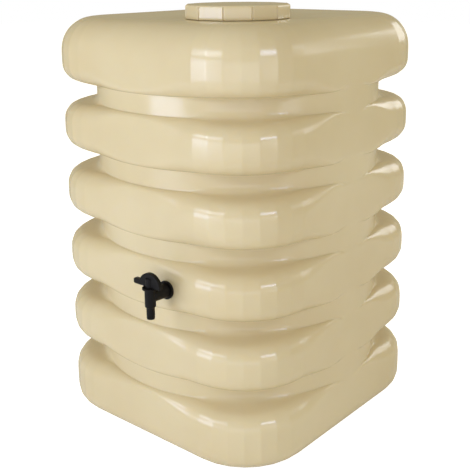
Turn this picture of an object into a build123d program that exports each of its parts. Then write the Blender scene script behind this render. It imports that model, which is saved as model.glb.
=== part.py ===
import os
from math import acos, atan2, cos, degrees, radians, sin

from build123d import *

# Rainwater tank with six bulging bands, a screw lid on its deck and a tap on its front.
# Millimetres, +Z up, -Y is the front with the tap.
# The origin is the centre of the base, on the tank's axis.

# Tank body
tank_width = 740.0  # along X, over the flat sides
tank_depth = 772.0  # along Y, over the flat sides
deck_height = 1058.0
wall = 5.0
corner_radius = 180.0  # of the circle that carries the corners of the facets
corner_flats = 7
band_pitch = 174.0
band_gap_count = 5
lowest_band_edge = 197.5  # lower edge of the second band from the ground
band_edge_radius = 42.0
band_face_height = 86.5  # upright face, measured from the band's lower edge
shoulder_reach = 172.5  # how far the shoulder's ellipse runs inwards
shoulder_rise = 58.0
deck_edge_radius = 84.0
groove_floor_half_width = 368.5  # the groove floor is an ellipse just inside the sides
groove_floor_half_depth = 376.0
band_ring_depth = 120.0  # inward depth of the ring that forms one band
band_fill_inset = 100.0

# Neck and screw lid, set towards the front right corner
neck_x = 134.5
neck_y = -158.0
neck_bore_radius = 110.0
neck_thread_radius = 118.0  # over the crests of the outer thread
running_clearance = 0.1
lid_across_flats = 248.0
lid_panels = 12
lid_turned = -4.6  # degrees from a panel edge on the X axis
lid_height = 33.5
lid_top = 4.5
lid_edge_radius = 5.0
lid_notch_radius = 2.2
lid_foot_gap = 1.0  # between the lid's foot and the deck
seal_thickness = 3.0
seal_margin = 0.6

# Tap, on the fourth band from the top
tap_x = 100.0
tap_height = 429.5
tap_reach = 56.0  # from the tank's face to the spout's axis
shank_radius = 13.2
shank_clearance = 0.5
water_bore_radius = 7.5
washer_thickness = 3.0
moulding_gap = 0.02  # between the inner washer and the moulded wall
outer_washer_radius = 21.5
inner_washer_radius = 17.0  # within the wall's flat strip
flange_radius = 22.5
flange_thickness = 4.0
barrel_radius = 17.5  # at the flange
barrel_nose_radius = 15.0  # at the spout's axis, where the barrel is narrower
barrel_end_radius = 8.0
column_radius = 13.2
column_top = 21.1  # above the barrel's axis
column_foot = 26.0  # below the barrel's axis
column_edge_radius = 3.0
nozzle_radius = 10.0  # of the plain land and over the barbs
nozzle_foot = 55.0  # below the barrel's axis
barb_height = 0.8
barb_pitch = 4.5
barb_count = 2
spout_bore_radius = 6.0
chamber_foot = 14.0  # below the barrel's axis
backnut_across_flats = 38.0
backnut_flange_radius = 21.5
backnut_flange = 3.0
backnut_height = 10.0
shank_overrun = 4.0  # past the backnut

# Plug, seals and lever of the tap
plug_radius = 9.5
fit_clearance = 0.05
plug_bore_top = 8.0  # above the barrel's axis
plug_port_radius = 5.5
stem_radius = 7.0
stem_square = 9.0
o_ring_radius = 1.0
o_ring_heights = (12.0, -10.0)
bonnet_radius = 18.5
bonnet_foot = 18.0  # above the barrel's axis
bonnet_top_wall = 2.0
bonnet_chamfer = 0.8
lever_gap = 0.3
lever_arch_radius = 34.5  # of the half-round plate over the stem
lever_arch_offset = 2.5  # of the arch's centre from the tap's axis, away from the grip
lever_reach = 49.5  # from the tap's axis to the grip's tip
lever_thickness = 11.0
grip_height = 13.5
grip_end_radius = 4.0
lever_edge_radius = 1.5
boss_radius = 10.5
boss_height = 22.0
boss_edge_radius = 2.0
stem_grip = 16.0  # how far the stem reaches into the boss

# Levels and places that follow
band_edges = [lowest_band_edge + band_pitch * index for index in range(band_gap_count)]
base_shoulder = lowest_band_edge - band_pitch + band_face_height
top_shoulder = deck_height - deck_edge_radius
front_face = -tank_depth / 2
lid_foot = deck_height + lid_foot_gap
lid_ceiling = lid_foot + lid_height - lid_top
neck_rim = lid_ceiling - seal_thickness
tap_axis_y = front_face - tap_reach
flange_back = front_face - washer_thickness
flange_front = flange_back - flange_thickness
inner_face = front_face + wall + moulding_gap
backnut_seat = inner_face + washer_thickness
shank_end = backnut_seat + backnut_height + shank_overrun
bonnet_ceiling = column_top + fit_clearance
bonnet_top = bonnet_ceiling + bonnet_top_wall
lever_foot = bonnet_top + lever_gap
chamber_radius = plug_radius + fit_clearance


def plan_points(inset):
    """Corners of the plan, from the middle of the front side and anticlockwise."""
    half_width = tank_width / 2 - inset
    half_depth = tank_depth / 2 - inset
    radius = corner_radius - inset
    centre_x = half_width - radius
    centre_y = half_depth - radius
    points = [(0, -half_depth)]
    for x, y, start in (
        (centre_x, -centre_y, -90),
        (centre_x, centre_y, 0),
        (-centre_x, centre_y, 90),
        (-centre_x, -centre_y, 180),
    ):
        for flat in range(corner_flats + 1):
            angle = radians(start + 90 * flat / corner_flats)
            points.append((x + radius * cos(angle), y + radius * sin(angle)))
    return points


def band(lower_edge, shoulder_start, reach, rise, inset):
    """One band: a ring with a round lower edge, an upright face and an elliptical shoulder."""
    face = -tank_depth / 2 + inset
    back = -tank_depth / 2 + band_ring_depth
    foot = lower_edge + inset
    edge = band_edge_radius - inset
    run = reach - inset
    lift = rise - inset
    with BuildLine() as path:
        Polyline(*plan_points(inset), close=True)
    with BuildPart() as ring:
        with BuildSketch(Plane.YZ):
            with BuildLine():
                Line((back, foot), (face + edge, foot))
                CenterArc((face + edge, foot + edge), edge, 180, 90)
                Line((face, foot + edge), (face, shoulder_start))
                if face + run > back:
                    cut = acos((face + run - back) / run)
                    top = shoulder_start + lift * sin(cut)
                    EllipticalCenterArc(
                        (face + run, shoulder_start), run, lift, 180, arc_size=-degrees(cut)
                    )
                else:
                    top = shoulder_start + lift
                    EllipticalCenterArc((face + run, shoulder_start), run, lift, 180, arc_size=-90)
                    Line((face + run, top), (back, top))
                Line((back, top), (back, foot))
            make_face()
        sweep(path=path.wires()[0], transition=Transition.RIGHT)
    return ring.part


def banded_body(inset):
    """The tank's outer form, or the water space inside it when the inset is the wall."""
    middle = band(0, band_face_height, shoulder_reach, shoulder_rise, inset)
    bottom = band(0, base_shoulder, shoulder_reach, shoulder_rise, inset)
    top = band(band_edges[-1], top_shoulder, deck_edge_radius, deck_edge_radius, inset)
    fill_width = tank_width - 2 * band_fill_inset
    fill_depth = tank_depth - 2 * band_fill_inset
    fill_corner = corner_radius - band_fill_inset
    low = base_shoulder / 2
    high = (band_edges[-1] + top_shoulder) / 2
    with BuildPart() as body:
        add(bottom)
        add(top)
        with Locations(*[(0, 0, height) for height in band_edges[:-1]]):
            add(middle)
        with BuildSketch(Plane.XY.offset(low)):
            Ellipse(groove_floor_half_width - inset, groove_floor_half_depth - inset)
        extrude(amount=high - low)
        with BuildSketch(Plane.XY.offset(inset)):
            RectangleRounded(fill_width, fill_depth, fill_corner)
        extrude(amount=deck_height - 2 * inset)
    return body.part


outer_form = banded_body(0)
water_space = banded_body(wall)

# Tank shell, one hollow moulding with its neck
with BuildPart() as tank_shell:
    add(outer_form)
    with BuildSketch(Plane.XY.offset(deck_height - wall / 2)):
        with Locations((neck_x, neck_y)):
            Circle(neck_thread_radius)
    extrude(amount=neck_rim - deck_height + wall / 2)
    add(water_space, mode=Mode.SUBTRACT)
    with BuildSketch(Plane.XY.offset(deck_height - 2 * wall)):
        with Locations((neck_x, neck_y)):
            Circle(neck_bore_radius)
    extrude(amount=neck_rim - deck_height + 2 * wall, mode=Mode.SUBTRACT)
    with BuildSketch(Plane.XZ.offset(-front_face)):
        with Locations((tap_x, tap_height)):
            Circle(shank_radius + shank_clearance)
    extrude(amount=-2 * wall, mode=Mode.SUBTRACT)

# Flat seal between the neck's rim and the lid
with BuildPart() as lid_seal:
    with BuildSketch(Plane.XY.offset(neck_rim)):
        with Locations((neck_x, neck_y)):
            Circle(neck_thread_radius - seal_margin)
            Circle(neck_bore_radius + seal_margin, mode=Mode.SUBTRACT)
    extrude(amount=seal_thickness)

# Screw lid with flat grip panels and a notch at each panel's edge
with BuildPart() as lid:
    with BuildSketch(Plane.XY.offset(lid_foot)):
        with Locations((neck_x, neck_y)):
            RegularPolygon(lid_across_flats / 2, lid_panels, major_radius=False, rotation=lid_turned)
    extrude(amount=lid_height)
    fillet(lid.faces().sort_by(Axis.Z)[-1].edges(), lid_edge_radius)
    corner_reach = lid_across_flats / 2 / cos(radians(180 / lid_panels))
    with BuildSketch(Plane.XY.offset(lid_foot)):
        with Locations((neck_x, neck_y)):
            with PolarLocations(corner_reach, lid_panels, start_angle=lid_turned):
                Circle(lid_notch_radius)
    extrude(amount=lid_height - lid_edge_radius, mode=Mode.SUBTRACT)
    with BuildSketch(Plane.XY.offset(lid_foot)):
        with Locations((neck_x, neck_y)):
            Circle(neck_thread_radius + running_clearance)
    extrude(amount=lid_height - lid_top, mode=Mode.SUBTRACT)


def across_tap(distance):
    """Plane square to the barrel, with its origin on the barrel's axis."""
    return Plane((tap_x, distance, tap_height), x_dir=(1, 0, 0), z_dir=(0, 1, 0))


def level_tap(height):
    """Plane square to the spout, at a height above the barrel's axis."""
    return Plane((tap_x, tap_axis_y, tap_height + height))


tap_axis = Axis((tap_x, tap_axis_y, tap_height), (0, 0, 1))
upright_tap = Plane((tap_x, tap_axis_y, tap_height), x_dir=(1, 0, 0), z_dir=(0, -1, 0))
side_tap = Plane((tap_x, tap_axis_y, tap_height), x_dir=(0, 1, 0), z_dir=(1, 0, 0))

# Tap body: threaded shank, flange, barrel, upright column and hose nozzle in one moulding
with BuildPart() as tap_body:
    barrel_length = flange_front - tap_axis_y
    barrel_taper = degrees(atan2(barrel_radius - barrel_nose_radius, barrel_length))
    with BuildSketch(across_tap(tap_axis_y)):
        Circle(barrel_nose_radius)
    extrude(amount=barrel_length, taper=-barrel_taper)
    fillet(tap_body.edges().sort_by(Axis.Y)[0], barrel_end_radius)
    with BuildSketch(across_tap(flange_front)):
        Circle(flange_radius)
    extrude(amount=flange_thickness)
    with BuildSketch(across_tap(flange_back)):
        Circle(shank_radius)
    extrude(amount=shank_end - flange_back)
    with BuildSketch(level_tap(-column_foot)):
        Circle(column_radius)
    extrude(amount=column_top + column_foot)
    fillet(tap_body.edges().filter_by(GeomType.CIRCLE).sort_by(Axis.Z)[0], column_edge_radius)
    with BuildSketch(level_tap(barb_count * barb_pitch - nozzle_foot)):
        Circle(nozzle_radius)
    extrude(amount=nozzle_foot - barb_count * barb_pitch)
    for barb in range(barb_count):
        with BuildSketch(level_tap(barb * barb_pitch - nozzle_foot)):
            Circle(nozzle_radius - barb_height)
        extrude(amount=barb_pitch, taper=-degrees(atan2(barb_height, barb_pitch)))
    with BuildSketch(level_tap(-nozzle_foot)):
        Circle(spout_bore_radius)
    extrude(amount=nozzle_foot, mode=Mode.SUBTRACT)
    with BuildSketch(level_tap(-chamber_foot)):
        Circle(chamber_radius)
    extrude(amount=column_top + chamber_foot, mode=Mode.SUBTRACT)
    with BuildSketch(across_tap(shank_end)):
        Circle(water_bore_radius)
    extrude(amount=tap_axis_y - shank_end, mode=Mode.SUBTRACT)

# Bonnet ring that holds the plug down
with BuildPart() as tap_bonnet:
    with BuildSketch(level_tap(bonnet_foot)):
        Circle(bonnet_radius)
    extrude(amount=bonnet_top - bonnet_foot)
    chamfer(tap_bonnet.edges().filter_by(GeomType.CIRCLE), bonnet_chamfer)
    with BuildSketch(level_tap(bonnet_foot)):
        Circle(column_radius + fit_clearance)
    extrude(amount=bonnet_ceiling - bonnet_foot, mode=Mode.SUBTRACT)
    with BuildSketch(level_tap(bonnet_foot)):
        Circle(stem_radius + fit_clearance)
    extrude(amount=bonnet_top - bonnet_foot, mode=Mode.SUBTRACT)

# Plug: an upright spindle whose side port turns to the barrel when the tap is open
with BuildPart() as tap_plug:
    with BuildSketch(level_tap(-chamber_foot)):
        Circle(plug_radius)
    extrude(amount=column_top + chamber_foot)
    with BuildSketch(level_tap(column_top)):
        Circle(stem_radius)
    extrude(amount=lever_foot - column_top)
    with BuildSketch(level_tap(lever_foot)):
        Rectangle(stem_square, stem_square)
    extrude(amount=stem_grip)
    with BuildSketch(level_tap(-chamber_foot)):
        Circle(spout_bore_radius)
    extrude(amount=plug_bore_top + chamber_foot, mode=Mode.SUBTRACT)
    with BuildSketch(side_tap):
        Circle(plug_port_radius)
    extrude(amount=plug_radius, mode=Mode.SUBTRACT)
    for height in o_ring_heights:
        with BuildSketch(level_tap(height - o_ring_radius - fit_clearance)):
            Circle(plug_radius)
            Circle(plug_radius - 2 * o_ring_radius - fit_clearance, mode=Mode.SUBTRACT)
        extrude(amount=2 * (o_ring_radius + fit_clearance), mode=Mode.SUBTRACT)

# Rubber rings in the plug's two grooves
o_rings = []
for height in o_ring_heights:
    with BuildPart() as o_ring:
        with BuildSketch(upright_tap):
            with Locations((plug_radius - o_ring_radius, height)):
                Circle(o_ring_radius)
        revolve(axis=tap_axis)
    o_rings.append(o_ring.part)

# Lever: a half-round plate with a level grip at one side, parallel to the wall when shut,
# and a round boss that holds the square stem
with BuildPart() as tap_lever:
    with BuildSketch(upright_tap) as side_view:
        with BuildLine():
            arch = CenterArc((lever_arch_offset, lever_foot), lever_arch_radius, 0, 180)
            Line(arch @ 1, arch @ 0)
        make_face()
        with Locations((-lever_reach / 2, lever_foot + grip_height / 2)):
            Rectangle(lever_reach, grip_height)
        fillet(side_view.vertices().group_by(Axis.X)[0], grip_end_radius)
    extrude(amount=lever_thickness / 2, both=True)
    fillet(tap_lever.faces().filter_by(Axis.Y).edges(), lever_edge_radius)
    boss_top = lever_foot + boss_height
    boss_side = boss_top - boss_edge_radius
    with BuildSketch(upright_tap):
        with BuildLine():
            Line((0, lever_foot), (boss_radius, lever_foot))
            Line((boss_radius, lever_foot), (boss_radius, boss_side))
            CenterArc((boss_radius - boss_edge_radius, boss_side), boss_edge_radius, 0, 90)
            Line((boss_radius - boss_edge_radius, boss_top), (0, boss_top))
            Line((0, boss_top), (0, lever_foot))
        make_face()
    revolve(axis=tap_axis)
    with BuildSketch(level_tap(lever_foot)):
        Rectangle(stem_square + 2 * fit_clearance, stem_square + 2 * fit_clearance)
    extrude(amount=stem_grip + fit_clearance, mode=Mode.SUBTRACT)


def washer(start, radius):
    """Flat rubber washer on the shank, from a distance along Y towards the tank's inside."""
    with BuildPart() as ring:
        with BuildSketch(across_tap(start)):
            Circle(radius)
            Circle(shank_radius + shank_clearance / 2, mode=Mode.SUBTRACT)
        extrude(amount=washer_thickness)
    return ring.part


outer_washer = washer(flange_back, outer_washer_radius)
inner_washer = washer(inner_face, inner_washer_radius)

# Backnut that clamps the tap from inside the tank
with BuildPart() as tap_backnut:
    with BuildSketch(across_tap(backnut_seat)):
        Circle(backnut_flange_radius)
    extrude(amount=backnut_flange)
    with BuildSketch(across_tap(backnut_seat)):
        RegularPolygon(backnut_across_flats / 2, 6, major_radius=False)
    extrude(amount=backnut_height)
    with BuildSketch(across_tap(backnut_seat)):
        Circle(shank_radius + fit_clearance)
    extrude(amount=backnut_height, mode=Mode.SUBTRACT)

pieces = {
    "tank_shell": tank_shell.part,
    "lid_seal": lid_seal.part,
    "lid": lid.part,
    "tap_body": tap_body.part,
    "tap_bonnet": tap_bonnet.part,
    "tap_plug": tap_plug.part,
    "upper_plug_seal": o_rings[0],
    "lower_plug_seal": o_rings[1],
    "tap_lever": tap_lever.part,
    "outer_tap_washer": outer_washer,
    "inner_tap_washer": inner_washer,
    "tap_backnut": tap_backnut.part,
}

os.makedirs("parts", exist_ok=True)
for name, piece in pieces.items():
    piece.label = name
    export_step(piece, f"parts/{name}.step")
    print(name, round(piece.volume), piece.is_valid, len(piece.solids()))
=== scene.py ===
import math

import bpy
import numpy as np
from mathutils import Matrix, Vector


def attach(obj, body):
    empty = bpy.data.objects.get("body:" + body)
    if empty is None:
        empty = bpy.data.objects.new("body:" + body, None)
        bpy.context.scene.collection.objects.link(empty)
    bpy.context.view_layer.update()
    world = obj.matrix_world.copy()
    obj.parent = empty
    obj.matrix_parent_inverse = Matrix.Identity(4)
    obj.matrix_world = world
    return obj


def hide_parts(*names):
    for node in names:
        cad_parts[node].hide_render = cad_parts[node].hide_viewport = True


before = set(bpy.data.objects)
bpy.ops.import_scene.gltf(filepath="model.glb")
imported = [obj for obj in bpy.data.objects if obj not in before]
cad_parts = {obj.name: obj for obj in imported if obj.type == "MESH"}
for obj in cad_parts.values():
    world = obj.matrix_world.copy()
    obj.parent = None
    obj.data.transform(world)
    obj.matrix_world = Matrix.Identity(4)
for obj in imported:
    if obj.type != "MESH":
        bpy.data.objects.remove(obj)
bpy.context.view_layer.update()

mm = 0.001


def toLinear(hexColour):
    # sRGB hex to linear RGBA, with the usual sRGB curve
    channels = np.array([int(hexColour[i:i + 2], 16) for i in (1, 3, 5)]) / 255
    linear = np.where(channels <= 0.04045, channels / 12.92, ((channels + 0.055) / 1.055) ** 2.4)
    return (*linear.tolist(), 1.0)


def addNode(tree, kind, links=None, **settings):
    # a setting names an input socket, with _ for a space, or a property of the node; links give
    # an input its source socket
    node = tree.nodes.new(kind)
    for name, value in settings.items():
        socket = node.inputs.get(name.replace("_", " "))
        if socket is None:
            setattr(node, name, value)
        else:
            socket.default_value = value
    for name, source in (links or {}).items():
        tree.links.new(source, node.inputs[name])
    return node


def steps(count, first):
    # even shares up to 1 as a column of rows, from 0 or from the first step
    return (np.arange(first, count + 1) / count)[:, None]


def gridMesh(name, rings, material):
    # rings is an array of rows by columns by 3, closed round its columns: each quad joins two
    # neighbours on one ring to the two above them, and a fan to a ring's mean point caps each end
    rows, columns, _ = rings.shape
    ring = np.arange(columns)
    following = np.roll(ring, -1)
    row = columns * np.arange(rows - 1)[:, None]
    quads = np.stack([row + ring, row + following, row + columns + following, row + columns + ring], -1)
    last = columns * (rows - 1)
    pole = np.full(columns, rows * columns)
    firstCap = np.stack([following, ring, pole], -1)
    lastCap = np.stack([last + ring, last + following, pole + 1], -1)
    points = np.vstack([rings.reshape(-1, 3), rings[0].mean(0), rings[-1].mean(0)])
    faces = quads.reshape(-1, 4).tolist() + firstCap.tolist() + lastCap.tolist()
    mesh = bpy.data.meshes.new(name)
    mesh.from_pydata(points.tolist(), [], faces)
    mesh.shade_smooth()
    mesh.materials.append(material)
    piece = bpy.data.objects.new(name, mesh)
    bpy.context.collection.objects.link(piece)
    return piece


# Materials

def newMaterial(name, **settings):
    # a material with one Principled shader, whose uniform values the settings give
    material = bpy.data.materials.new(name)
    material.use_nodes = True
    tree = material.node_tree
    tree.nodes.clear()
    shader = addNode(tree, "ShaderNodeBsdfPrincipled", **settings)
    addNode(tree, "ShaderNodeOutputMaterial", {"Surface": shader.outputs[0]})
    return material, tree, shader


polyethylene = {
    "colour": "#D5C398",
    "paler": "#DBCBA2",
    "roughness": 0.2,
    "ior": 1.51,
    "cloudSize": 260 * mm,  # of the faint pale flow clouds
    "waveSize": 90 * mm,  # of the long soft waves in the skin
    "waveHeight": 0.6 * mm,
    "grainSize": 1.6 * mm,
    "grainHeight": 0.05 * mm,
    "grainStrength": 0.35,
    "glow": 0.3,  # share of the light that enters the plastic and comes out beside where it entered
    "glowReach": (8 * mm, 6 * mm, 3 * mm),
}


def mouldedPolyethylene():
    # rotationally moulded polyethylene: a waxy glossy skin, faint flow clouds and long soft waves
    material, tree, shader = newMaterial(
        "moulded polyethylene", Roughness=polyethylene["roughness"], IOR=polyethylene["ior"],
        Subsurface_Weight=polyethylene["glow"], Subsurface_Radius=polyethylene["glowReach"],
        Subsurface_Scale=1.0,
    )
    place = {"Vector": addNode(tree, "ShaderNodeTexCoord").outputs["Object"]}
    clouds = addNode(tree, "ShaderNodeTexNoise", place, Scale=1 / polyethylene["cloudSize"], Detail=3.0)
    colour = addNode(tree, "ShaderNodeValToRGB", {"Fac": clouds.outputs["Fac"]})
    first, second = colour.color_ramp.elements
    first.position, first.color = 0.3, toLinear(polyethylene["colour"])
    second.position, second.color = 0.7, toLinear(polyethylene["paler"])
    waves = addNode(tree, "ShaderNodeTexNoise", place, Scale=1 / polyethylene["waveSize"], Detail=1.0)
    grain = addNode(tree, "ShaderNodeTexNoise", place, Scale=1 / polyethylene["grainSize"], Detail=2.0)
    soft = addNode(
        tree, "ShaderNodeBump", {"Height": waves.outputs["Fac"]},
        Distance=polyethylene["waveHeight"], Strength=1.0,
    )
    fine = addNode(
        tree, "ShaderNodeBump", {"Height": grain.outputs["Fac"], "Normal": soft.outputs[0]},
        Distance=polyethylene["grainHeight"], Strength=polyethylene["grainStrength"],
    )
    tree.links.new(colour.outputs["Color"], shader.inputs["Base Color"])
    tree.links.new(fine.outputs[0], shader.inputs["Normal"])
    return material


polypropylene = {
    "colour": "#0A0806",
    "ior": 1.49,
    "shine": 0.2,
    "smoothest": 0.4,  # roughness
    "dullest": 0.52,
    "grainSize": 0.8 * mm,
    "grainHeight": 0.04 * mm,
}


def mouldedPolypropylene():
    # injection-moulded black polypropylene: deep black with a slight gloss and a faint grain
    material, tree, shader = newMaterial(
        "moulded polypropylene", Base_Color=toLinear(polypropylene["colour"]), IOR=polypropylene["ior"],
        Specular_IOR_Level=polypropylene["shine"],
    )
    place = {"Vector": addNode(tree, "ShaderNodeTexCoord").outputs["Object"]}
    grain = addNode(tree, "ShaderNodeTexNoise", place, Scale=1 / polypropylene["grainSize"], Detail=2.0)
    height = grain.outputs["Fac"]
    bump = addNode(
        tree, "ShaderNodeBump", {"Height": height}, Distance=polypropylene["grainHeight"], Strength=0.4
    )
    gloss = addNode(
        tree, "ShaderNodeMapRange", {"Value": height}, From_Min=0.3, From_Max=0.7,
        To_Min=polypropylene["smoothest"], To_Max=polypropylene["dullest"],
    )
    tree.links.new(bump.outputs[0], shader.inputs["Normal"])
    tree.links.new(gloss.outputs[0], shader.inputs["Roughness"])
    return material


sealRubber = {
    "colour": "#1B1B1A",
    "roughness": 0.75,
    "ior": 1.52,
    "grainSize": 0.5 * mm,
    "grainHeight": 0.05 * mm,
}


def mouldedRubber():
    # moulded EPDM rubber: dull dark grey with a fine powdery grain
    material, tree, shader = newMaterial(
        "moulded rubber", Base_Color=toLinear(sealRubber["colour"]), Roughness=sealRubber["roughness"],
        IOR=sealRubber["ior"],
    )
    place = {"Vector": addNode(tree, "ShaderNodeTexCoord").outputs["Object"]}
    grain = addNode(tree, "ShaderNodeTexNoise", place, Scale=1 / sealRubber["grainSize"], Detail=3.0)
    bump = addNode(
        tree, "ShaderNodeBump", {"Height": grain.outputs["Fac"]},
        Distance=sealRubber["grainHeight"], Strength=0.5,
    )
    tree.links.new(bump.outputs[0], shader.inputs["Normal"])
    return material


tankPlastic = mouldedPolyethylene()
tapPlastic = mouldedPolypropylene()
rubber = mouldedRubber()
print("materials made")

# Tank shell

shell = {
    "halfWidth": 370 * mm,
    "halfDepth": 386 * mm,
    "deck": 1058 * mm,
    "wall": 5 * mm,
    "cornerRadius": 180 * mm,
    "cornerFlats": 7,
    "sideColumns": 18,
    "edgeColumns": (1.8 * mm, 4.32 * mm),  # how far from a facet edge the columns stand that soften it
    "bandPitch": 174 * mm,
    "lowestEdge": 197.5 * mm,  # lower edge of the second band
    "bandGaps": 5,
    "faceHeight": 43.5 * mm,  # a height on every band's face, from which its two edges are worked out
    "edgeRadius": 42 * mm,  # of each band's upper and lower edge
    "edgeShare": 0.98,  # most of a groove's depth that a round edge takes
    "rootShare": 0.9,  # most of a line that its round root takes
    # the two lines that a groove is cut with: the height from the band's lower edge at which a line
    # would meet the groove floor, its slope, and the round root there
    "ledge": {"height": 123.5 * mm, "slope": 0.1, "root": 16 * mm, "edgeRows": 11},
    "underside": {"height": -3.5 * mm, "slope": 0.12, "root": 8 * mm, "edgeRows": 9},
    "lineRows": 3,
    "rootRows": 5,
    "floorHalfWidth": 371 * mm,
    "floorHalfDepth": 376 * mm,
    "leastDepth": 0.3 * mm,
    "flushDepth": 9 * mm,  # a groove shallower than this fades to a soft step
    "stepHeight": 0.45,  # of the soft step, as a share of the edge's radius
    "faceRows": 4,
    "floorRows": 4,
    "baseRows": 10,
    "deckRadius": 84 * mm,
    "deckFaceRows": 6,
    "deckRows": 14,
}

neck = {
    "x": 134.5 * mm,
    "y": -158 * mm,
    "bore": 110 * mm,
    "mouth": 112 * mm,  # radius where the bore opens into the tank
    "root": 115.2 * mm,
    "crest": 117.8 * mm,
    "pitch": 8 * mm,
    "firstTurn": 1063 * mm,
    "lastTurn": 1080 * mm,
    "ridge": 1.6,  # steepness of the thread's flanks; above 1 it flattens the crest
    "rowHeight": 0.8 * mm,
    "rim": 1085 * mm,
    "rimRadius": 2 * mm,
    "foot": 3 * mm,
    "boreTop": 8 * mm,  # of the bore's highest row, below the rim
    "boreFoot": 3 * mm,  # of its lowest row, above the deck's inner face
}


def planColumns():
    # the facetted plan as columns, each with a place and an outward direction. The corners lie on
    # four arcs and take the mitre of their two sides; a column part way along a side blends the
    # places and directions of the side's two ends
    flats = shell["cornerFlats"]
    radius = shell["cornerRadius"]
    quarter = np.repeat(np.arange(4), flats + 1)
    angle = np.pi / 2 * (quarter - 1 + np.tile(np.arange(flats + 1), 4) / flats)
    signs = np.array([(1, -1), (1, 1), (-1, 1), (-1, -1)])[quarter]
    centres = signs * (shell["halfWidth"] - radius, shell["halfDepth"] - radius)
    corners = centres + radius * np.stack([np.cos(angle), np.sin(angle)], -1)
    along = np.roll(corners, -1, 0) - corners
    lengths = np.linalg.norm(along, axis=1)
    normals = np.stack([along[:, 1], -along[:, 0]], -1) / lengths[:, None]
    before = np.roll(normals, 1, 0)
    mitre = (before + normals) / (1 + (before * normals).sum(1))[:, None]
    places, outward = [], []
    for index, length in enumerate(lengths):
        isSide = index % (flats + 1) == flats
        inner = np.linspace(0, 1, shell["sideColumns"] if isSide else 3)[1:-1]
        near = np.array(shell["edgeColumns"]) / length
        share = np.concatenate([near, inner, 1 - near[::-1]])[:, None]
        after = (index + 1) % len(lengths)
        places.append(corners[index] * (1 - share) + corners[after] * share)
        outward.append(mitre[index] * (1 - share) + mitre[after] * share)
    return np.vstack(places), np.vstack(outward)


def grooveDepth(places, outward, inset):
    # how far inwards a column meets the groove floor's ellipse: the smaller root of the
    # quadratic that puts the column's point on the ellipse
    size = np.array([shell["floorHalfWidth"] - inset, shell["floorHalfDepth"] - inset])
    place, direction = places / size, outward / size
    square = (direction * direction).sum(1)
    half = (place * direction).sum(1)
    under = half * half - square * ((place * place).sum(1) - 1)
    return np.maximum((half - np.sqrt(np.maximum(under, 0))) / square, shell["leastDepth"])


def roundedEdge(line, depth, inset):
    # rows from the face inwards, as distance and height: a quarter-round edge, the sloped line
    # and a round root that turns into the groove floor. Both radii shrink where the groove is too
    # shallow for them, and in the shallowest groove the rows become a cosine step of its depth
    side = np.sign(line["height"])
    reach = abs(line["height"] - shell["faceHeight"]) - inset
    lean = math.atan(line["slope"])
    turn = np.pi / 2 - lean
    setback = math.tan(turn / 2)
    radius = shell["edgeRadius"] - inset
    edge = np.minimum(radius, shell["edgeShare"] * depth / (setback * math.cos(lean)))
    angle = turn * steps(line["edgeRows"], 0)
    across = edge * (1 - np.cos(angle))
    up = reach - line["slope"] * depth - edge * setback + edge * np.sin(angle)
    length = (depth - across[-1]) / math.cos(lean)
    root = np.minimum(line["root"] + inset, shell["rootShare"] * length / setback)
    lineAcross = depth - root * setback * math.cos(lean)
    lineUp = reach - root * setback * math.sin(lean)
    share = steps(shell["lineRows"], 1)
    heading = lean + turn * steps(shell["rootRows"], 1)
    across = np.vstack([
        across,
        across[-1] + (lineAcross - across[-1]) * share,
        lineAcross + root * (np.sin(heading) - math.sin(lean)),
    ])
    up = np.vstack([
        up,
        up[-1] + (lineUp - up[-1]) * share,
        lineUp + root * (math.cos(lean) - np.cos(heading)),
    ])
    along = np.linspace(0, 1, len(across))[:, None]
    softAcross = depth * (1 - np.cos(np.pi * along)) / 2
    softUp = reach + radius * shell["stepHeight"] * (along - 1)
    fade = np.clip(1 - depth / shell["flushDepth"], 0, 1) ** 2
    return across * (1 - fade) + softAcross * fade, side * (up * (1 - fade) + softUp * fade)


def bandRings(inset):
    # rings from the base's edge up to the deck's edge, for the outer skin or for the inner one at
    # that inset. Every gap between two bands is a ledge, the groove floor and an underside
    places, outward = planColumns()
    places = places - inset * outward
    depth = grooveDepth(places, outward, inset)
    ledgeAcross, ledgeUp = roundedEdge(shell["ledge"], depth, inset)
    underAcross, underUp = (rows[::-1] for rows in roundedEdge(shell["underside"], depth, inset))
    rows = []

    def put(across, up):
        rows.append(np.stack(np.broadcast_arrays(across, up, depth)[:2]))

    edge = shell["edgeRadius"] - inset
    turn = np.pi / 2 * steps(shell["baseRows"], 0)
    put(edge * (1 - np.sin(turn)), inset + edge * (1 - np.cos(turn)))
    face = inset + edge
    for gap in range(shell["bandGaps"]):
        below = shell["lowestEdge"] + (gap - 1) * shell["bandPitch"] + shell["faceHeight"]
        above = below + shell["bandPitch"]
        put(0, face + (below + ledgeUp[0] - face) * steps(shell["faceRows"], 1)[:-1])
        put(ledgeAcross, below + ledgeUp)
        low, high = below + ledgeUp[-1], above + underUp[0]
        put(depth, low + (high - low) * steps(shell["floorRows"], 1)[:-1])
        put(underAcross, above + underUp)
        face = above + underUp[-1]
    high = shell["deck"] - shell["deckRadius"]
    put(0, face + (high - face) * steps(shell["deckFaceRows"], 1))
    radius = shell["deckRadius"] - inset
    turn = np.pi / 2 * steps(shell["deckRows"], 1)
    put(radius * (1 - np.cos(turn)), high + radius * np.sin(turn))
    across, up = np.concatenate(rows, 1)
    flat = places - across[:, :, None] * outward
    return np.concatenate([flat, up[:, :, None]], -1)


def softenRings(rings, passes):
    # each ring moves half way to the mean of its two neighbours, which rounds roots and edges
    for _ in range(passes):
        inside = (rings[:-2] + 2 * rings[1:-1] + rings[2:]) / 4
        rings = np.concatenate([rings[:1], inside, rings[-1:]])
    return rings


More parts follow.
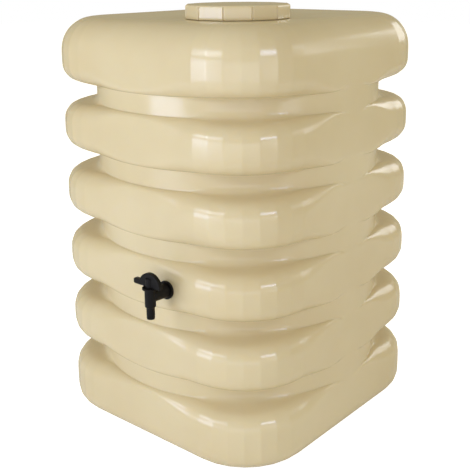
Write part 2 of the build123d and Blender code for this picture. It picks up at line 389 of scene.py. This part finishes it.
def neckRings(radius, height, angle):
    # circles round the neck's axis, with a radius for each row or point and a height for each row
    radius, height, angle = np.broadcast_arrays(radius, height, angle)
    return np.stack([neck["x"] + radius * np.cos(angle), neck["y"] + radius * np.sin(angle), height], -1)


def between(first, second, count):
    # rings in even steps between two rings
    share = ((np.arange(count) + 1) / (count + 1))[:, None, None]
    return first * (1 - share) + second * share


def shrunk(ring, shares):
    # copies of a ring at its own height, drawn in towards the tank's axis
    return np.stack([ring * (share, share, 1) for share in shares])


def buildShell():
    # one closed skin: the base, the bands, the deck and the neck outside, then the bore and the
    # whole inside back down. The thread is a raised cosine ridge that climbs one pitch each turn
    # and fades at both ends
    outer = softenRings(bandRings(0), 2)
    inner = softenRings(bandRings(shell["wall"])[::2], 1)[::-1]
    away = outer[-1] - (neck["x"], neck["y"], 0)
    angle = np.arctan2(away[:, 1], away[:, 0])
    deck, ceiling = shell["deck"], shell["deck"] - shell["wall"]
    root, bore, rim, corner = neck["root"], neck["bore"], neck["rim"], neck["rimRadius"]
    turn = np.pi / 2 * steps(3, 0)
    fillet = neck["foot"]
    foot = neckRings(root + fillet * (1 - np.sin(turn)), deck + fillet * (1 - np.cos(turn)), angle)
    height = np.arange(deck + fillet + neck["rowHeight"], rim - corner, neck["rowHeight"])[:, None]
    climb = (height - neck["firstTurn"]) / neck["pitch"] - angle / (2 * np.pi)
    turns = (neck["lastTurn"] - neck["firstTurn"]) / neck["pitch"]
    fade = np.clip(climb, 0, 1) * np.clip(turns - climb, 0, 1)
    ridge = np.clip(neck["ridge"] * np.cos(2 * np.pi * climb), 0, 1) * fade
    turn = np.pi / 2 * steps(3, 1)
    boreHeight = np.linspace(rim - neck["boreTop"], ceiling + neck["boreFoot"], 5)[:, None]
    mouth = neckRings(neck["mouth"], ceiling, angle)
    shares = (0.02, 0.3, 0.6, 0.85)
    rings = np.concatenate([
        shrunk(outer[0], shares),
        outer,
        between(outer[-1], foot[0], 7),
        foot,
        neckRings(root + (neck["crest"] - root) * ridge, height, angle),
        neckRings(root - corner * (1 - np.cos(turn)), rim - corner * (1 - np.sin(turn)), angle),
        neckRings(bore + corner * (1 - np.sin(turn)), rim - corner * (1 - np.cos(turn)), angle),
        neckRings(bore, boreHeight, angle),
        mouth[None],
        between(mouth, inner[0], 4),
        inner,
        shrunk(inner[-1], shares[::-1]),
    ])
    return gridMesh("tankShellMoulding", rings, tankPlastic)


shellPiece = buildShell()
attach(shellPiece, "tank")
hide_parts("tank_shell")
print("shell made", sum(len(face.vertices) - 2 for face in shellPiece.data.polygons), "triangles")

# Screw lid

lid = {
    "halfFlats": 124 * mm,
    "panels": 12,
    "turned": -4.6,
    "foot": 1059 * mm,
    "footBevel": 0.8 * mm,
    "boreBevel": 0.6 * mm,
    "top": 1092.5 * mm,
    "ceiling": 1088 * mm,
    "bore": 118.1 * mm,
    "edgeRadius": 5 * mm,
    "crown": 0.25 * mm,
    "notchDepth": 3.2 * mm,
    "notchHalfWidth": 2.6 * mm,
    "notchEnd": 1.6,  # how fast a notch runs out over the top edge
    "notchColumns": (0, 0.35, 0.65, 0.88, 1.0, 1.25, 1.8),  # in notch half widths from its middle
    "panelMargin": 3.5,
    "panelColumns": 7,
}


def buildLid():
    # plan radius: half the flats over the cosine from the panel's middle, less a round-bottomed
    # notch at each panel's edge. The rows run up inside, round the foot and over the top
    step = 2 * np.pi / lid["panels"]
    reach = lid["halfFlats"] / np.cos(step / 2)
    unit = lid["notchHalfWidth"] / reach
    near = unit * np.array(lid["notchColumns"])
    margin = unit * lid["panelMargin"]
    panel = np.linspace(margin, step - margin, lid["panelColumns"])
    local = np.concatenate([near, panel, step - near[:0:-1]])
    angle = (math.radians(lid["turned"]) + step * np.arange(lid["panels"])[:, None] + local).ravel()
    fromEdge = np.tile(local, lid["panels"])
    flat = lid["halfFlats"] / np.cos(fromEdge - step / 2)
    across = np.minimum(fromEdge, step - fromEdge) / unit
    notch = lid["notchDepth"] * np.sqrt(np.clip(1 - across ** 2, 0, 1))
    foot, top, bore, edge = lid["foot"], lid["top"], lid["bore"], lid["edgeRadius"]
    rim = top - lid["crown"]
    turn = np.pi / 2 * steps(7, 1)
    fade = np.maximum(0, 1 - lid["notchEnd"] * np.sin(turn))
    share = np.array([0.9, 0.75, 0.5, 0.25, 0.03])[:, None]
    rings = np.concatenate([
        neckRings(bore, np.linspace(lid["ceiling"], foot + lid["boreBevel"], 6)[:, None], angle),
        neckRings(bore + lid["boreBevel"], foot, angle)[None],
        neckRings(flat - notch - lid["footBevel"], foot, angle)[None],
        neckRings(flat - notch, np.linspace(foot + lid["footBevel"], top - edge, 6)[:, None], angle),
        neckRings(flat - notch * fade - edge * (1 - np.cos(turn)), rim - edge * (1 - np.sin(turn)), angle),
        neckRings((flat - edge) * share, top - lid["crown"] * share ** 2, angle),
    ])
    return gridMesh("screwLid", rings, tankPlastic)


lidPiece = buildLid()
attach(lidPiece, "lid")
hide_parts("lid")
print("lid made")

# Tap and seals keep their solids, with their finishes

for node, material in {
    "tap_body": tapPlastic,
    "tap_bonnet": tapPlastic,
    "tap_plug": tapPlastic,
    "tap_lever": tapPlastic,
    "tap_backnut": tapPlastic,
    "lid_seal": rubber,
    "upper_plug_seal": rubber,
    "lower_plug_seal": rubber,
    "outer_tap_washer": rubber,
    "inner_tap_washer": rubber,
}.items():
    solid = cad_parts[node]
    solid.data.materials.clear()
    solid.data.materials.append(material)
print("tap and seals finished")

# Floor and light

studio = {
    "floor": "#F2F1EE",
    "floorGlow": 0.85,  # what the camera sees of the floor's own light, which lights nothing else
    "size": 30.0,
    "backdrop": 1.0,  # what the camera sees behind the object
    "ambient": 0.43,  # what lights the object from all round
    "ambientColour": (1.0, 0.9, 0.62),
    # for each lamp, the azimuth from the front towards +X, the height of its middle, its width,
    # its upright size, its distance, its power and its colour
    "lamps": {
        "keyLight": (-13, 2.3, 1.7, 0.9, 3.4, 41, (0.72, 0.79, 1.0)),
        "lowLight": (-13, 0.75, 1.7, 1.2, 3.4, 43, (0.64, 0.73, 1.0)),
        "sideLight": (77, 2.3, 0.9, 0.7, 3.0, 20, (0.64, 0.72, 1.0)),
        "rightLight": (80, 0.9, 0.9, 1.4, 3.4, 9, (0.83, 0.87, 1.0)),
        "fillLight": (38, 0.6, 3.0, 1.1, 3.6, 17, (0.72, 0.79, 1.0)),
        "backLight": (134, 1.9, 0.8, 1.3, 3.2, 8, (0.92, 0.95, 1.0)),
        "rimLight": (165, 1.75, 1.5, 1.2, 3.2, 16, (0.96, 0.98, 1.0)),
    },
}


def buildFloor():
    half = studio["size"] / 2
    corners = [(-half, -half, 0), (half, -half, 0), (half, half, 0), (-half, half, 0)]
    mesh = bpy.data.meshes.new("studioFloor")
    mesh.from_pydata(corners, [], [(0, 1, 2, 3)])
    material, tree, shader = newMaterial(
        "matt paper floor", Base_Color=toLinear(studio["floor"]), Roughness=0.9, Specular_IOR_Level=0.0,
        Emission_Color=(1, 1, 1, 1),
    )
    path = addNode(tree, "ShaderNodeLightPath")
    glow = addNode(tree, "ShaderNodeMath", {0: path.outputs["Is Camera Ray"]}, operation="MULTIPLY")
    glow.inputs[1].default_value = studio["floorGlow"]
    tree.links.new(glow.outputs[0], shader.inputs["Emission Strength"])
    mesh.materials.append(material)
    floor = bpy.data.objects.new("studioFloor", mesh)
    bpy.context.collection.objects.link(floor)


def buildWorld():
    # the camera sees plain white; everything else is lit by an even, weaker and warmer light
    world = bpy.data.worlds.new("studioWorld")
    bpy.context.scene.world = world
    world.use_nodes = True
    tree = world.node_tree
    tree.nodes.clear()
    path = addNode(tree, "ShaderNodeLightPath")
    ambient = (*studio["ambientColour"], 1)
    seen = addNode(tree, "ShaderNodeBackground", Color=(1, 1, 1, 1), Strength=studio["backdrop"])
    lit = addNode(tree, "ShaderNodeBackground", Color=ambient, Strength=studio["ambient"])
    mix = addNode(
        tree, "ShaderNodeMixShader", {0: path.outputs["Is Camera Ray"], 1: lit.outputs[0], 2: seen.outputs[0]}
    )
    addNode(tree, "ShaderNodeOutputWorld", {"Surface": mix.outputs[0]})


def addLamp(name, azimuth, height, width, tall, distance, power, colour):
    # an upright rectangular softbox that looks at the tank's axis at half its height
    lamp = bpy.data.lights.new(name, "AREA")
    lamp.shape = "RECTANGLE"
    lamp.size, lamp.size_y = width, tall
    lamp.energy = power
    lamp.color = colour
    light = bpy.data.objects.new(name, lamp)
    bpy.context.collection.objects.link(light)
    turn = math.radians(azimuth)
    light.location = (distance * math.sin(turn), -distance * math.cos(turn), height)
    aim = Vector((0, 0, shell["deck"] / 2)) - light.location
    light.rotation_euler = aim.to_track_quat("-Z", "Y").to_euler()


buildFloor()
buildWorld()
for name, lamp in studio["lamps"].items():
    addLamp(name, *lamp)
bpy.context.scene.view_settings.view_transform = "Standard"
print("stage made")

# Camera, at the photograph's viewing angle

view = {
    "place": (1.4466, -1.7127, 1.1714),
    "azimuth": 40.19,
    "pitch": 12.30,
    "roll": 0.50,
    "focalPixels": 839.3,
    "centreX": 238.54,
    "centreY": 152.73,
    "frame": 470,
    "sensorWidth": 36,
}


def buildCamera():
    # azimuth and pitch give the direction ahead, and roll turns the picture about it
    camera = bpy.data.cameras.new("photoCamera")
    camera.sensor_width = view["sensorWidth"]
    camera.lens = view["focalPixels"] / view["frame"] * view["sensorWidth"]
    camera.shift_x = (view["frame"] / 2 - view["centreX"]) / view["frame"]
    camera.shift_y = (view["centreY"] - view["frame"] / 2) / view["frame"]
    camera.clip_end = 100
    holder = bpy.data.objects.new("photoCamera", camera)
    bpy.context.collection.objects.link(holder)
    azimuth, pitch, roll = (math.radians(view[key]) for key in ("azimuth", "pitch", "roll"))
    right = np.array([math.cos(azimuth), math.sin(azimuth), 0])
    level = np.array([-math.sin(azimuth), math.cos(azimuth), 0])
    ahead = level * math.cos(pitch) - np.array([0, 0, math.sin(pitch)])
    up = np.cross(right, ahead)
    matrix = np.eye(4)
    matrix[:3, 0] = right * math.cos(roll) - up * math.sin(roll)
    matrix[:3, 1] = up * math.cos(roll) + right * math.sin(roll)
    matrix[:3, 2] = -ahead
    matrix[:3, 3] = view["place"]
    holder.matrix_world = Matrix(matrix.tolist())
    bpy.context.scene.camera = holder


buildCamera()
print("camera made")
